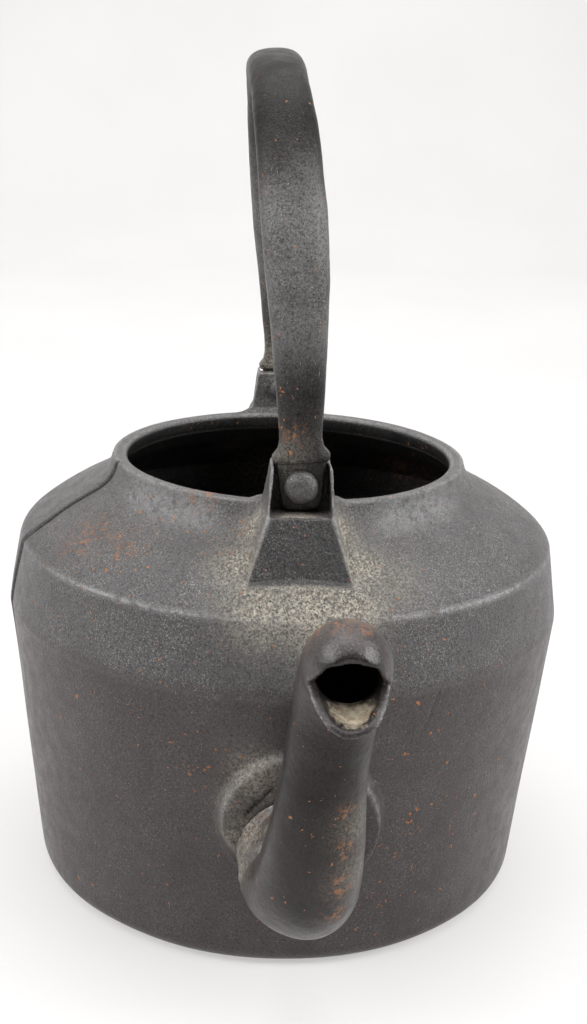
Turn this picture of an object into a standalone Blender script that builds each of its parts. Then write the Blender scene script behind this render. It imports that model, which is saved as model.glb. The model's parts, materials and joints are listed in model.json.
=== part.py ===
# Cast iron kettle with a beaked spout and a bail handle that rocks between two lugs.
# Metres, +Z up. Origin: centre of the flat base. +X: the way the spout points.
import bpy
import bmesh
import math
import numpy as np
from mathutils import Vector

# ---- driving dimensions -------------------------------------------------------------------
MM = 0.001
GAP = 0.4 * MM                      # clearance between pieces that meet

WALL = 4.0 * MM                     # casting thickness of the pot
BELLY_R = 105.0 * MM                # widest ring, at the top of the tapered wall
BELLY_Z = 107.0 * MM
BASE_INSET = 10.15 * MM             # how much narrower the base is than the belly
BASE_EDGE = 4.2 * MM                # rounding between base and wall
BAND_INSET = 4.0 * MM               # how much narrower the top of the upper band is
BAND_H = 25.7 * MM
SHOULDER_H = 29.5 * MM              # from the band up to the rim of the mouth
MOUTH_R = 60.9 * MM
RIM_W = 5.5 * MM                    # flat width of the rim round the mouth

TONGUE_T = 5.5 * MM                 # thickness of the handle's tongues
TONGUE_HALF = 7.9 * MM              # half width of a tongue where it leaves its pocket
TONGUE_DROP = 8.2 * MM              # how far it reaches below the pivot
EAR_W = 1.5 * MM                    # how far the handle's ears stand out past the tongue
LUG_PLATE = 5.5 * MM                # web of the lug behind the tongue
LUG_WALL = 1.2 * MM                 # side walls of the pocket
LUG_LEDGE_D = 17.5 * MM             # depth of the lug at its ledge, below the tongue
LUG_FOOT_D = 25.8 * MM
LUG_FOOT_HALF = 18.4 * MM
LUG_LEDGE_H = 1.0 * MM              # ledge above the rim
LUG_TOP_H = 16.2 * MM               # lug top above the rim
PIVOT_DROP = 6.9 * MM               # pivot below the lug top
RIVET_R = 3.0 * MM
RIVET_PLAY = 0.35 * MM              # room round the shank, per side
RIVET_HEAD_R = 5.6 * MM
RIVET_HEAD_H = 4.0 * MM
RIVET_TAIL_R = 5.0 * MM
RIVET_TAIL_H = 2.4 * MM

HANDLE_LEAN = math.radians(4.3)     # the handle rests tipped over to the -Y side
HANDLE_BOW = 1.6 * MM               # the bar is bent sideways, most at mid height
HANDLE_BULGE = 0.9 * MM             # limbs stand out past the tongues
HANDLE_SPRING = 50.5 * MM           # height of the limbs above the pivot, where the arch begins
HANDLE_RISE = 131.4 * MM            # centre of the bar at the top, above the pivot
BAR_HALF_W = 10.7 * MM              # widest half width of the bar
BAR_HALF_T = 6.1 * MM               # half thickness
NECK_HALF_W = 6.9 * MM              # narrow neck just above the ears

BOSS_R = 28.0 * MM                  # round pad on the wall that carries the spout
BOSS_PROUD = 4.2 * MM
SPOUT_Y = 2.2 * MM                  # the root is a little off the line of the lugs
BOSS_Z = 60.0 * MM
SPOUT_Z = 52.0 * MM                 # height of the spout's root
SPOUT_ROOT_R = 16.4 * MM
SPOUT_COLLAR = 3.8 * MM             # rough collar round the root, wider than the tube
SPOUT_NECK_R = 13.2 * MM
SPOUT_ROOT_WALL = 4.9 * MM
SPOUT_NECK_WALL = 3.3 * MM
SPOUT_REACH = 73.9 * MM             # boss face to the tip of the pouring lip, before trimming
SPOUT_RISE = 91.0 * MM              # root to the centre of the beak
SPOUT_CROOK = 7.7 * MM              # the beak stands off to the +Y side
LATHE_STEPS = 72

# ---- sizes that follow --------------------------------------------------------------------
BASE_R = BELLY_R - BASE_INSET
BAND_R = BELLY_R - BAND_INSET
BAND_Z = BELLY_Z + BAND_H
RIM_R = MOUTH_R + RIM_W
RIM_Z = BAND_Z + SHOULDER_H
LUG_BACK_X = RIM_R + 0.1 * MM
LUG_TOP_Z = RIM_Z + LUG_TOP_H
LEDGE_Z = RIM_Z + LUG_LEDGE_H
PIVOT_Z = LUG_TOP_Z - PIVOT_DROP
POCKET_X = LUG_BACK_X + LUG_PLATE
POCKET_Z = PIVOT_Z - TONGUE_DROP - 0.8 * MM
TONGUE_X = POCKET_X + GAP + TONGUE_T / 2
POCKET_HALF = TONGUE_HALF + PIVOT_DROP * math.sin(HANDLE_LEAN) + GAP
LUG_HALF = POCKET_HALF + LUG_WALL
EAR_HALF = TONGUE_HALF + EAR_W
EAR_Z = LUG_TOP_Z + GAP + EAR_HALF * math.sin(HANDLE_LEAN)
HOLE_R = RIVET_R + RIVET_PLAY


def wall_r(z):
    """Outer radius of the tapered wall at a height."""
    return BASE_R + (BELLY_R - BASE_R) * (z - BASE_EDGE) / (BELLY_Z - BASE_EDGE)


# The shoulder's outline: share of the way from the rim out to the band, share of the way up.
SHOULDER = [(0.931, 0.098), (0.775, 0.247), (0.584, 0.393), (0.382, 0.522),
            (0.208, 0.637), (0.093, 0.753), (0.032, 0.871)]
shoulder = [(RIM_R + (BAND_R - RIM_R) * a, BAND_Z + SHOULDER_H * b) for a, b in SHOULDER]


def shoulder_z(r):
    """Height of the shoulder's outer surface at a radius."""
    rs, zs = zip(*([(BAND_R, BAND_Z)] + shoulder + [(RIM_R, RIM_Z)]))
    return float(np.interp(r, rs[::-1], zs[::-1]))


BOSS_X = wall_r(BOSS_Z) + BOSS_PROUD

# ---- clean scene --------------------------------------------------------------------------
for ob in list(bpy.data.objects):
    bpy.data.objects.remove(ob, do_unlink=True)
kettle = bpy.data.collections.new("cast_iron_kettle")
cutters = bpy.data.collections.new("cutters")
bpy.context.scene.collection.children.link(kettle)
bpy.context.scene.collection.children.link(cutters)


# ---- tools --------------------------------------------------------------------------------
def material(name, rgb, rough, metal):
    m = bpy.data.materials.new(name)
    m.use_nodes = True
    b = m.node_tree.nodes["Principled BSDF"]
    b.inputs["Base Color"].default_value = (*rgb, 1.0)
    b.inputs["Roughness"].default_value = rough
    b.inputs["Metallic"].default_value = metal
    m.diffuse_color = (*rgb, 1.0)
    return m


def place(ob, where, mat):
    """Put an object in its collection, as a part with a material or as a wire cutter."""
    where.objects.link(ob)
    if mat is not None:
        ob.data.materials.append(mat)
    if where is cutters:
        ob.hide_render = True
        ob.display_type = "WIRE"
    return ob


def lathe(name, profile, where, mat=None, steps=LATHE_STEPS, axis="Z", origin=(0, 0, 0)):
    """Turn a profile of (radius, distance along the axis) with a Screw modifier."""
    me = bpy.data.meshes.new(name)
    verts = [(r, 0.0, h) if axis == "Z" else (h, 0.0, r) for r, h in profile]
    me.from_pydata(verts, [(i, i + 1) for i in range(len(verts) - 1)], [])
    ob = place(bpy.data.objects.new(name, me), where, mat)
    ob.location = origin
    turn = ob.modifiers.new("turn", "SCREW")
    turn.axis = axis
    turn.angle = 2 * math.pi
    turn.steps = steps
    turn.render_steps = steps
    turn.use_merge_vertices = True
    turn.merge_threshold = 0.00001
    turn.use_smooth_shade = True
    bpy.context.view_layer.update()
    turned = ob.evaluated_get(bpy.context.evaluated_depsgraph_get())
    bm = bmesh.new()
    bm.from_mesh(turned.data)
    turn.use_normal_flip = bm.calc_volume(signed=True) < 0
    bm.free()
    return ob


def loft(name, rings, where, mat=None, origin=(0, 0, 0), close=False):
    """Skin a row of rings that have equally many points; ends get flat caps."""
    bm = bmesh.new()
    rows = [[bm.verts.new(Vector(p) - Vector(origin)) for p in ring] for ring in rings]
    n = len(rings[0])
    for a, b in zip(rows, rows[1:] + ([rows[0]] if close else [])):
        for i in range(n):
            bm.faces.new((a[i], a[(i + 1) % n], b[(i + 1) % n], b[i]))
    if not close:
        bm.faces.new(rows[0][::-1])
        bm.faces.new(rows[-1])
    bmesh.ops.recalc_face_normals(bm, faces=bm.faces)
    me = bpy.data.meshes.new(name)
    bm.to_mesh(me)
    bm.free()
    ob = place(bpy.data.objects.new(name, me), where, mat)
    ob.location = origin
    return ob


def boolean(ob, tool, op):
    md = ob.modifiers.new(op.lower(), "BOOLEAN")
    md.operation = op
    md.solver = "EXACT"
    md.object = tool


def finish(ob):
    """Apply the modifiers and shade smooth, with creases kept sharp."""
    bpy.context.view_layer.update()
    evaluated = ob.evaluated_get(bpy.context.evaluated_depsgraph_get())
    me = bpy.data.meshes.new_from_object(evaluated)
    ob.modifiers.clear()
    ob.data = me
    for p in me.polygons:
        p.use_smooth = True
    me.set_sharp_from_angle(angle=math.radians(32))


def arc(cx, cz, r, a0, a1, n):
    angles = [math.radians(a0 + (a1 - a0) * i / n) for i in range(n + 1)]
    return [(cx + r * math.cos(a), cz + r * math.sin(a)) for a in angles]


def inset(points, d):
    """Move each point of an outline inwards, square to its neighbours, by a distance."""
    out = []
    for i in range(1, len(points) - 1):
        (r0, z0), (r1, z1) = points[i - 1], points[i + 1]
        n = math.hypot(r1 - r0, z1 - z0)
        r, z = points[i]
        out.append((r - abs(z1 - z0) / n * d, z - abs(r1 - r0) / n * d))
    return out


def smooth_curve(points, per):
    """Catmull-Rom curve through the points, as rows of numbers."""
    p = np.array(points, float)
    p = np.vstack([2 * p[0] - p[1], p, 2 * p[-1] - p[-2]])
    rows = []
    for a, b, c, d in zip(p, p[1:], p[2:], p[3:]):
        for t in np.arange(per) / per:
            rows.append(0.5 * (2 * b + (c - a) * t + (2 * a - 5 * b + 4 * c - d) * t * t
                               + (3 * b - a - 3 * c + d) * t ** 3))
    return np.array(rows + [p[-2]])


def drill(ob, name, r, x0, x1, y, z, steps=24):
    """Round hole along X."""
    tool = lathe(name, [(0.0, x0), (r, x0), (r, x1), (0.0, x1)], cutters,
                 steps=steps, axis="X", origin=(0, y, z))
    boolean(ob, tool, "DIFFERENCE")


# ---- pot ----------------------------------------------------------------------------------
def pot_outline():
    """Inner surface from the floor up to the mouth, then the outer surface down to the base."""
    corner = 3.0 * MM
    inner = [(0.0, WALL + 0.5 * MM)]
    inner += arc(BASE_R - WALL - corner, WALL + 0.5 * MM + corner, corner, -90, 0, 4)
    inner += [(wall_r(BELLY_Z * k) - WALL, BELLY_Z * k) for k in (0.33, 0.5, 0.67, 0.985)]
    # the lower shoulder keeps the wall's thickness, the neck thickens towards the rim
    inner += inset([(BELLY_R, BELLY_Z), (BAND_R, BAND_Z)] + shoulder[:6], WALL)
    inner += [(MOUTH_R + 1.2 * MM, RIM_Z - 6.0 * MM), (MOUTH_R, RIM_Z - 1.4 * MM),
              (MOUTH_R + 1.2 * MM, RIM_Z)]
    outer = [(RIM_R - 1.0 * MM, RIM_Z), (RIM_R, RIM_Z - 0.9 * MM)] + shoulder[::-1]
    outer += [(BAND_R - 0.35 * MM, BAND_Z + 0.55 * MM), (BAND_R + 0.15 * MM, BAND_Z - 0.7 * MM)]
    outer += [(BELLY_R - 0.2 * MM, BELLY_Z + 1.0 * MM), (BELLY_R - 0.1 * MM, BELLY_Z - 1.0 * MM)]
    outer += [(wall_r(BELLY_Z * k), BELLY_Z * k) for k in (0.84, 0.69, 0.54, 0.39, 0.24)]
    outer += arc(BASE_R - BASE_EDGE, BASE_EDGE, BASE_EDGE, 0, -90, 5) + [(0.0, 0.0)]
    return inner, outer


def lug(side, tag):
    """Tapered block on the shoulder, foot to top, sunk into the casting."""
    foot_x = LUG_BACK_X + LUG_FOOT_D
    back_z = shoulder_z(math.hypot(LUG_BACK_X, LUG_FOOT_HALF)) - WALL * 0.65
    rings = []
    for xb, zb, hb, xf, zf, hf in (
            (LUG_BACK_X, back_z, LUG_FOOT_HALF + 0.6 * MM,
             foot_x, shoulder_z(foot_x) - WALL * 0.5, LUG_FOOT_HALF),
            (LUG_BACK_X, LEDGE_Z, LUG_HALF + 2.4 * MM,
             LUG_BACK_X + LUG_LEDGE_D, LEDGE_Z, LUG_HALF + 1.1 * MM),
            (LUG_BACK_X, LUG_TOP_Z, LUG_HALF,
             LUG_BACK_X + LUG_LEDGE_D * 0.75, LUG_TOP_Z, LUG_HALF)):
        rings.append([(side * xb, -hb, zb), (side * xf, -hf, zf),
                      (side * xf, hf, zf), (side * xb, hb, zb)])
    return loft("lug_" + tag, rings, cutters)


def pocket(side, tag):
    """Open-fronted recess for the tongue, wider at its floor and towards the front."""
    far_x = LUG_BACK_X + LUG_FOOT_D + 7 * MM
    rings = []
    for z, h in ((POCKET_Z, POCKET_HALF + 1.0 * MM), (LUG_TOP_Z + 4 * MM, POCKET_HALF - 0.2 * MM)):
        rings.append([(side * POCKET_X, -h, z), (side * far_x, -h - 1.2 * MM, z),
                      (side * far_x, h + 1.2 * MM, z), (side * POCKET_X, h, z)])
    return loft("pocket_" + tag, rings, cutters)


def boss(inner):
    """Round pad with a sloping edge, trimmed to the pot's inner surface."""
    root_x = wall_r(BOSS_Z - BOSS_R) - WALL * 0.75
    pad = lathe("boss_pad", [(0.0, root_x - 3 * MM), (BOSS_R + 1.5 * MM, root_x - 3 * MM),
                             (BOSS_R + 1.5 * MM, root_x), (BOSS_R - 1.5 * MM, BOSS_X - 1.0 * MM),
                             (BOSS_R - 3.2 * MM, BOSS_X), (0.0, BOSS_X)],
                cutters, steps=48, axis="X", origin=(0, SPOUT_Y, BOSS_Z))
    trim = lathe("boss_trim", inner + [(MOUTH_R, RIM_Z + WALL), (0.0, RIM_Z + WALL)], cutters)
    boolean(pad, trim, "DIFFERENCE")
    return pad


def make_pot(mat):
    inner, outer = pot_outline()
    pot = lathe("kettle_body", inner + outer, kettle, mat)
    for side, tag in ((1, "front"), (-1, "rear")):
        boolean(pot, lug(side, tag), "UNION")
    boolean(pot, boss(inner[:-1]), "UNION")
    drill(pot, "spout_socket", SPOUT_ROOT_R + GAP, BASE_R - 12 * MM, BOSS_X + 8 * MM,
          SPOUT_Y, SPOUT_Z, 48)
    for side, tag in ((1, "front"), (-1, "rear")):
        boolean(pot, pocket(side, tag), "DIFFERENCE")
        drill(pot, "lug_drill_" + tag, HOLE_R, side * (LUG_BACK_X - 6 * MM),
              side * (POCKET_X + 8 * MM), 0, PIVOT_Z)
    finish(pot)


# ---- spout --------------------------------------------------------------------------------
# Stations from the boss to the beak: shares of the reach, the crook and the rise, then how far
# the tube has swelled from its neck size (0) to its root size (1).
SPOUT_LINE = [(0.027, 0.01, -0.011, 1.5), (0.068, 0.05, -0.037, 1.25), (0.127, 0.15, -0.062, 1.1),
              (0.200, 0.25, -0.048, 1.03), (0.271, 0.34, 0.022, 0.97), (0.322, 0.41, 0.132, 0.81),
              (0.363, 0.47, 0.264, 0.53), (0.398, 0.53, 0.407, 0.22), (0.438, 0.62, 0.560, 0.0),
              (0.487, 0.73, 0.709, -0.03), (0.547, 0.85, 0.846, 0.0), (0.628, 0.96, 0.956, 0.03),
              (0.731, 1.0, 1.0, 0.03), (0.844, 1.0, 1.004, 0.0), (1.0, 1.0, 0.996, -0.1)]


def spout_stations():
    """Rows of x, y, z, outer radius and wall thickness along the centre line."""
    def at(reach, crook, rise, swell):
        r = SPOUT_NECK_R + (SPOUT_ROOT_R - SPOUT_NECK_R) * swell
        wall = SPOUT_NECK_WALL + (SPOUT_ROOT_WALL - SPOUT_NECK_WALL) * min(swell, 1.2)
        return (BOSS_X + SPOUT_REACH * reach, SPOUT_Y + SPOUT_CROOK * crook,
                SPOUT_Z + SPOUT_RISE * rise, r, wall)
    inside = wall_r(SPOUT_Z - SPOUT_ROOT_R) - WALL - 0.8 * MM
    root = [(x, SPOUT_Y, SPOUT_Z, SPOUT_ROOT_R, SPOUT_ROOT_WALL)
            for x in (inside, (inside + BOSS_X) / 2, BOSS_X + GAP)]
    collar_r = SPOUT_ROOT_R + SPOUT_COLLAR
    collar = (BOSS_X + GAP, SPOUT_Y, SPOUT_Z, collar_r, SPOUT_ROOT_WALL + SPOUT_COLLAR)
    return root, np.vstack([[collar], smooth_curve([at(*s) for s in SPOUT_LINE], 2)])


def oval(p, t, side, up, down, n=28):
    """Ring square to the direction t: half width along Y, then its reach upwards and down."""
    u = (Vector((0, 1, 0)) - t * t.y).normalized()
    v = t.cross(u)
    ring = []
    for k in range(n):
        a = 2 * math.pi * k / n
        tall = up if math.sin(a) > 0 else down
        ring.append(p + u * math.cos(a) * side + v * math.sin(a) * tall)
    return ring


def make_spout(mat):
    root, tube = spout_stations()
    rows = np.vstack([root, tube])
    tangents = np.gradient(rows[:, :3], axis=0)
    out, bore = [], []
    for i, (row, t) in enumerate(zip(rows, tangents)):
        p = Vector(row[:3])
        t = Vector((1, 0, 0)) if i <= len(root) else Vector(t).normalized()
        r, wall = row[3], row[4]
        # in the beak the bore is low and deep: a thick hood above, a thin lip below
        beak = min(max((row[0] - BOSS_X) / SPOUT_REACH - 0.58, 0.0) / 0.22, 1.0)
        out.append(oval(p, t, r, r, r + 1.2 * MM * beak))
        bore.append(oval(p, t, r - wall + 0.4 * MM * beak, r - wall - 1.8 * MM * beak,
                         r - wall + 2.9 * MM * beak))
    spout = loft("spout", out + bore[::-1], kettle, mat, close=True)
    # The beak's mouth seen from the side: hood edge, notch, pouring lip.
    notch_x = BOSS_X + SPOUT_REACH * 0.75
    axis_z = SPOUT_Z + SPOUT_RISE
    ahead_x = BOSS_X + SPOUT_REACH + 14 * MM
    outline = [(notch_x + 9.6 * MM, axis_z + SPOUT_NECK_R + 4 * MM),
               (notch_x + 9.2 * MM, axis_z + 0.55 * SPOUT_NECK_R),
               (notch_x, axis_z - 2.4 * MM),
               (notch_x + 7.0 * MM, axis_z - 7.8 * MM),
               (notch_x + 14.4 * MM, axis_z - SPOUT_NECK_R - 1.4 * MM),
               (ahead_x, axis_z - SPOUT_NECK_R - 4 * MM), (ahead_x, axis_z + SPOUT_NECK_R + 4 * MM)]
    side = SPOUT_NECK_R * 3
    cut = loft("beak_cut", [[(x, SPOUT_Y + y, z) for x, z in outline] for y in (-side, side)],
               cutters)
    boolean(spout, cut, "DIFFERENCE")
    finish(spout)


# ---- handle -------------------------------------------------------------------------------
def handle_stations():
    """Rows of x, height above the pivot, half width, half thickness, squareness; one half."""
    thin = TONGUE_T / 2
    ear = EAR_Z - PIVOT_Z
    neck_x = TONGUE_X - 0.9 * MM
    rows = [(TONGUE_X, -TONGUE_DROP, TONGUE_HALF * 0.58, thin, 7),
            (TONGUE_X, -TONGUE_DROP + 0.9 * MM, TONGUE_HALF * 0.78, thin, 7),
            (TONGUE_X, -TONGUE_DROP + 2.9 * MM, TONGUE_HALF * 0.87, thin, 7),
            (TONGUE_X, 0.5 * MM, TONGUE_HALF * 0.94, thin, 7),
            (TONGUE_X, ear, TONGUE_HALF, thin, 7),
            (neck_x, ear, EAR_HALF - 0.1 * MM, thin + 1.7 * MM, 5),
            (neck_x, ear + 1.7 * MM, EAR_HALF, thin + 1.9 * MM, 5),
            (neck_x, ear + 3.9 * MM, NECK_HALF_W + 0.7 * MM, thin + 2.1 * MM, 4),
            (neck_x, ear + 7.0 * MM, NECK_HALF_W, thin + 2.3 * MM, 3.2),
            (neck_x, ear + 16.5 * MM, NECK_HALF_W + 1.0 * MM, thin + 2.7 * MM, 2.6)]
    limb_x = TONGUE_X + HANDLE_BULGE
    limb = [(limb_x - 1.2 * MM, HANDLE_SPRING - 15 * MM), (limb_x - 0.5 * MM, HANDLE_SPRING - 9 * MM),
            (limb_x - 0.1 * MM, HANDLE_SPRING - 4 * MM)]
    steps = 22
    power = 2 / 2.35
    for k in range(steps + 1):
        a = math.pi / 2 * k / steps
        limb.append((limb_x * math.cos(a) ** power,
                     HANDLE_SPRING + (HANDLE_RISE - HANDLE_SPRING) * math.sin(a) ** power))
    run = np.cumsum([0.0] + [math.dist(a, b) for a, b in zip(limb, limb[1:])])
    for (x, h), s in zip(limb, run / run[-1]):
        width = np.interp(s, [0, 0.18, 0.34, 0.5, 0.7, 1.0], [0.80, 0.95, 1.0, 0.97, 0.91, 0.88])
        thick = np.interp(s, [0, 0.3], [0.92, 1.0])
        rows.append((x, h, BAR_HALF_W * width, BAR_HALF_T * thick, 2.4))
    return rows


def bar_section(x, h, tx, tz, half, thick, square, n=20):
    """Rounded-oblong ring; the thickness runs square to the bar, the width along Y."""
    ring = []
    share = min(max(h / HANDLE_RISE, 0.0), 1.0)
    bow = HANDLE_BOW * 4 * share * (1 - share)
    for k in range(n):
        a = 2 * math.pi * (k + 0.5) / n
        d = math.copysign(abs(math.sin(a)) ** (2 / square), math.sin(a)) * thick
        w = math.copysign(abs(math.cos(a)) ** (2 / square), math.cos(a)) * half
        ring.append((x + tz * d, w + bow, h - tx * d + PIVOT_Z))
    return ring


def make_handle(mat):
    half = handle_stations()
    rows = half + [(-x, h, w, t, q) for x, h, w, t, q in reversed(half[:-1])]
    tangents = np.gradient(np.array([r[:2] for r in rows]), axis=0)
    rings = []
    for (x, h, w, t, q), (tx, tz) in zip(rows, tangents):
        if h < EAR_Z - PIVOT_Z + 7.5 * MM:
            tx, tz = 0.0, math.copysign(1.0, x)
        n = math.hypot(tx, tz)
        rings.append(bar_section(x, h, tx / n, tz / n, w, t, q))
    handle = loft("handle", rings, kettle, mat, origin=(0, 0, PIVOT_Z))
    for side, tag in ((1, "front"), (-1, "rear")):
        drill(handle, "tongue_eye_" + tag, HOLE_R, side * (POCKET_X - 6 * MM),
              side * (POCKET_X + TONGUE_T + 6 * MM), 0, PIVOT_Z)
    finish(handle)
    handle.rotation_euler = (HANDLE_LEAN, 0.0, 0.0)


# ---- rivets -------------------------------------------------------------------------------
def make_rivet(side, tag, mat):
    """Peened tail inside the lug, shank, domed head outside the tongue."""
    tail_x = LUG_BACK_X - GAP
    head_x = POCKET_X + 2 * GAP + TONGUE_T
    outline = [(0.0, tail_x - RIVET_TAIL_H), (RIVET_TAIL_R * 0.62, tail_x - RIVET_TAIL_H * 0.86),
               (RIVET_TAIL_R * 0.94, tail_x - RIVET_TAIL_H * 0.4), (RIVET_TAIL_R, tail_x),
               (RIVET_R, tail_x), (RIVET_R, head_x), (RIVET_HEAD_R, head_x)]
    for a in (15, 32, 50, 68, 80):
        outline.append((RIVET_HEAD_R * math.cos(math.radians(a)),
                        head_x + RIVET_HEAD_H * math.sin(math.radians(a))))
    outline.append((0.0, head_x + RIVET_HEAD_H))
    rivet = lathe("rivet_" + tag, [(r, side * x) for r, x in outline], kettle, mat,
                  steps=28, axis="X", origin=(0, 0, PIVOT_Z))
    finish(rivet)


make_pot(material("iron_pot", (0.060, 0.055, 0.052), 0.62, 0.55))
make_spout(material("iron_spout", (0.066, 0.060, 0.057), 0.55, 0.55))
make_handle(material("iron_handle", (0.052, 0.049, 0.048), 0.45, 0.60))
make_rivet(1, "front", material("iron_rivet_front", (0.085, 0.080, 0.076), 0.50, 0.65))
make_rivet(-1, "rear", material("iron_rivet_rear", (0.080, 0.076, 0.072), 0.52, 0.65))
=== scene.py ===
# Looks of the cast iron kettle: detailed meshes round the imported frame, materials, light, camera.
# Metres, +Z up, in the frame's own axes: +X is the way the spout points.
import json
import math
import bmesh
import bpy
import numpy as np
from mathutils import Matrix, Vector, noise


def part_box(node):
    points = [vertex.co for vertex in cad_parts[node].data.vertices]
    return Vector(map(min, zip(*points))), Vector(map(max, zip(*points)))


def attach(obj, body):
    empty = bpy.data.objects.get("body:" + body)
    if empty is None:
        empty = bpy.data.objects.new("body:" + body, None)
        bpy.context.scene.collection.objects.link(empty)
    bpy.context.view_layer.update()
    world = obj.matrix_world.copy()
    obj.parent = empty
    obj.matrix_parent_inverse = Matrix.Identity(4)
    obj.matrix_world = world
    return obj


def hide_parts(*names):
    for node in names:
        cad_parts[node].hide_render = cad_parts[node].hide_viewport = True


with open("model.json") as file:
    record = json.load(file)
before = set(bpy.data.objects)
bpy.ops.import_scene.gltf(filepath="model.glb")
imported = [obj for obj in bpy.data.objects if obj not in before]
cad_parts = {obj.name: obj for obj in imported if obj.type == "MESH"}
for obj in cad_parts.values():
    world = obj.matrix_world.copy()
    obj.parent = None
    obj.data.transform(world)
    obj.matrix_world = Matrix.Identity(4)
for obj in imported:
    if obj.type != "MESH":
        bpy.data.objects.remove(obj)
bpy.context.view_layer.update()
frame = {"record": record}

MM = 0.001
POT_LO, POT_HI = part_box("kettle_body")
SPOUT_LO, SPOUT_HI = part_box("spout")
HANDLE_LO, HANDLE_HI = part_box("handle")
HINGE = frame["record"]["behaviour"]["joints"][0]["pos_m"]

# ---- sizes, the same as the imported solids' ------------------------------------------------
WALL = 4.0 * MM
BELLY_R = -POT_LO[0]                # widest ring, at the top of the tapered wall
BELLY_Z = 107.0 * MM
BASE_R = BELLY_R - 10.15 * MM
BASE_EDGE = 4.2 * MM
BAND_R = BELLY_R - 4.0 * MM         # crease between the upper band and the shoulder
BAND_Z = BELLY_Z + 25.7 * MM
LUG_TOP_Z = POT_HI[2]
RIM_Z = LUG_TOP_Z - 16.2 * MM
MOUTH_R = 60.9 * MM
RIM_R = MOUTH_R + 5.5 * MM
LUG_BACK_X = RIM_R + 0.1 * MM
LUG_FOOT_X = LUG_BACK_X + 25.8 * MM
LUG_LEDGE_X = LUG_BACK_X + 17.5 * MM
LUG_FRONT_X = LUG_BACK_X + 13.1 * MM
LUG_FOOT_HALF = 18.4 * MM
LEDGE_Z = RIM_Z + 1.0 * MM
PIVOT_Z = HINGE[2]
POCKET_X = LUG_BACK_X + 5.5 * MM
POCKET_Z = PIVOT_Z - 9.0 * MM
POCKET_HALF = 8.8 * MM
LUG_HALF = POCKET_HALF + 1.2 * MM
HOLE_R = 3.35 * MM
TONGUE_T = 5.5 * MM
TONGUE_X = POCKET_X + 0.4 * MM + TONGUE_T / 2
TONGUE_HALF = 7.9 * MM
TONGUE_DROP = 8.2 * MM
HANDLE_LEAN = math.radians(4.3)
HANDLE_SPRING = 50.5 * MM
HANDLE_RISE = 131.4 * MM
EAR_HALF = TONGUE_HALF + 1.5 * MM
EAR_UP = LUG_TOP_Z + 0.4 * MM + EAR_HALF * math.sin(HANDLE_LEAN) - PIVOT_Z
BAR_HALF_W = 10.7 * MM
BAR_HALF_T = 6.1 * MM
NECK_HALF_W = 6.9 * MM
SPOUT_Y = 2.2 * MM
SPOUT_Z = 52.0 * MM
BOSS_Z = 60.0 * MM
BOSS_R = 28.0 * MM
BOSS_X = POT_HI[0] - 0.3 * MM
ROOT_R = 16.4 * MM
NECK_R = 13.2 * MM
SPOUT_REACH = 73.9 * MM
SPOUT_RISE = 91.0 * MM
SPOUT_CROOK = 7.7 * MM
BEAK_Y = SPOUT_Y + SPOUT_CROOK      # axis of the beak
BEAK_Z = SPOUT_Z + SPOUT_RISE
NOTCH_X = BOSS_X + SPOUT_REACH * 0.75    # where hood and pouring lip part
SEAM_X = 17.0 * MM                  # plane of the mould's parting line at the rim
SEAM_WIDTH = 0.9 * MM
SEAM_DEPTH = 1.1 * MM
SEAM_STEP = 0.6 * MM                # how proud the casting stands behind the line


# ---- mesh tools ---------------------------------------------------------------------------
def new_object(name, verts, faces):
    me = bpy.data.meshes.new(name)
    me.from_pydata(np.asarray(verts).tolist(), [], faces)
    ob = bpy.data.objects.new(name, me)
    bpy.context.scene.collection.objects.link(ob)
    return ob


def skin(name, rings, closed=False):
    """Quads between rings of equally many points; flat caps at the ends unless closed."""
    rings = np.asarray(rings)
    rows, n = rings.shape[:2]
    index = np.arange(rows * n).reshape(rows, n)
    if closed:
        index = np.vstack([index, index[:1]])
    a, b = index[:-1], index[1:]
    quads = np.stack([a, np.roll(a, -1, 1), np.roll(b, -1, 1), b], -1).reshape(-1, 4).tolist()
    if not closed:
        quads += [index[0][::-1].tolist(), index[-1].tolist()]
    ob = new_object(name, rings.reshape(-1, 3), quads)
    outward(ob)
    return ob


def outward(ob):
    """Turn every face outwards."""
    bm = bmesh.new()
    bm.from_mesh(ob.data)
    bmesh.ops.recalc_face_normals(bm, faces=bm.faces)
    if bm.calc_volume(signed=True) < 0:
        bmesh.ops.reverse_faces(bm, faces=bm.faces)
    bm.to_mesh(ob.data)
    bm.free()


def apply_modifiers(ob):
    bpy.context.view_layer.update()
    evaluated = ob.evaluated_get(bpy.context.evaluated_depsgraph_get())
    me = bpy.data.meshes.new_from_object(evaluated)
    ob.modifiers.clear()
    ob.data = me


def boolean(ob, tool, op):
    md = ob.modifiers.new(op.lower(), "BOOLEAN")
    md.operation = op
    md.solver = "EXACT"
    md.object = tool
    apply_modifiers(ob)
    bpy.data.objects.remove(tool, do_unlink=True)


def worn(ob, voxel, rounds):
    """Melt the sharp edges of a solid the way casting and use do."""
    md = ob.modifiers.new("remesh", "REMESH")
    md.mode = "VOXEL"
    md.voxel_size = voxel
    md.use_smooth_shade = True
    md = ob.modifiers.new("smooth", "SMOOTH")
    md.factor = 0.5
    md.iterations = rounds
    apply_modifiers(ob)


def points_of(me):
    co = np.empty(len(me.vertices) * 3)
    me.vertices.foreach_get("co", co)
    return co.reshape(-1, 3)


def normals_of(me):
    no = np.empty(len(me.vertices) * 3)
    me.vertices.foreach_get("normal", no)
    return no.reshape(-1, 3)


def move_points(ob, co):
    ob.data.vertices.foreach_set("co", co.ravel())
    ob.data.update()


def noise_at(co, size):
    """Smooth noise of about -1 to 1 at each point, with lumps of this size."""
    return np.array([noise.noise(Vector(p)) for p in (co / size).tolist()])


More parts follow.
